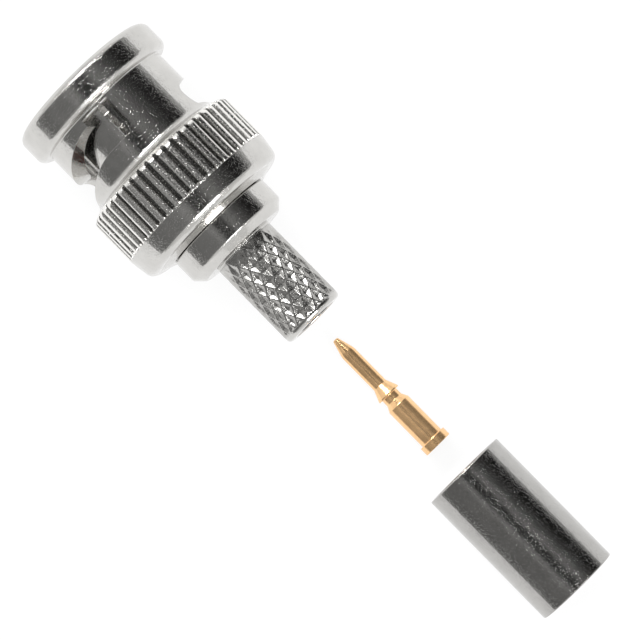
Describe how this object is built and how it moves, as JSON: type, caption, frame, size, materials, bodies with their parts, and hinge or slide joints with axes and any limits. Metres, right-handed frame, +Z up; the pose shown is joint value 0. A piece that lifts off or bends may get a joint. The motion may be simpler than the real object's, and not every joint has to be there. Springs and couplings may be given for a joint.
{
  "type": "bnc connector",
  "caption": "Crimp coaxial cable plug with bayonet coupling nut, loose gold centre pin and loose crimp ferrule, laid in line.",
  "frame": {"origin": "on the surface the pieces lie on, under the middle of the row", "axes": "+X along the row from the plug's nose to the ferrule, +Z up"},
  "size_m": [0.0594, 0.0152, 0.0153],
  "materials": {
    "nickel_plating": "bright nickel plate over turned brass, with fine speckle",
    "gold_plating": "pale gold plate over turned brass",
    "spring_bronze": "bare rolled spring bronze",
    "silicone_rubber": "soft matte silicone",
    "white_insulator": "turned white fluoropolymer, waxy"
  },
  "bodies": {
    "root": {"plug_body": "nickel_plating", "outer_contact": "nickel_plating", "gasket": "silicone_rubber", "front_insulator": "white_insulator", "rear_insulator": "white_insulator", "wave_washer_front": "spring_bronze", "wave_washer_rear": "spring_bronze", "contact_pin": "gold_plating", "crimp_ferrule": "nickel_plating"},
    "spacer": {"spacer_washer": "spring_bronze"},
    "thrust": {"thrust_washer": "spring_bronze"},
    "nut": {"coupling_nut": "nickel_plating"}
  },
  "joints": [
    {"name": "nut_float", "type": "slide", "parent": "root", "child": "thrust", "axis": [-1, 0, 0], "range_m": [0, 0.0008], "stiffness_N_per_m": 3000, "springref_m": -0.001, "deforming": ["wave_washer_front", "wave_washer_rear"]},
    {"name": "spacer_float", "type": "slide", "parent": "root", "child": "spacer", "axis": [-1, 0, 0], "range_m": [0, 0.0004]},
    {"name": "nut_spin", "type": "hinge", "parent": "thrust", "child": "nut", "pos_m": [-0.01377, 0, 0.00764], "axis": [1, 0, 0], "continuous": true}
  ],
  "couplings": [
    {"joint": "spacer_float", "follows": "nut_float", "ratio": 0.5}
  ]
}
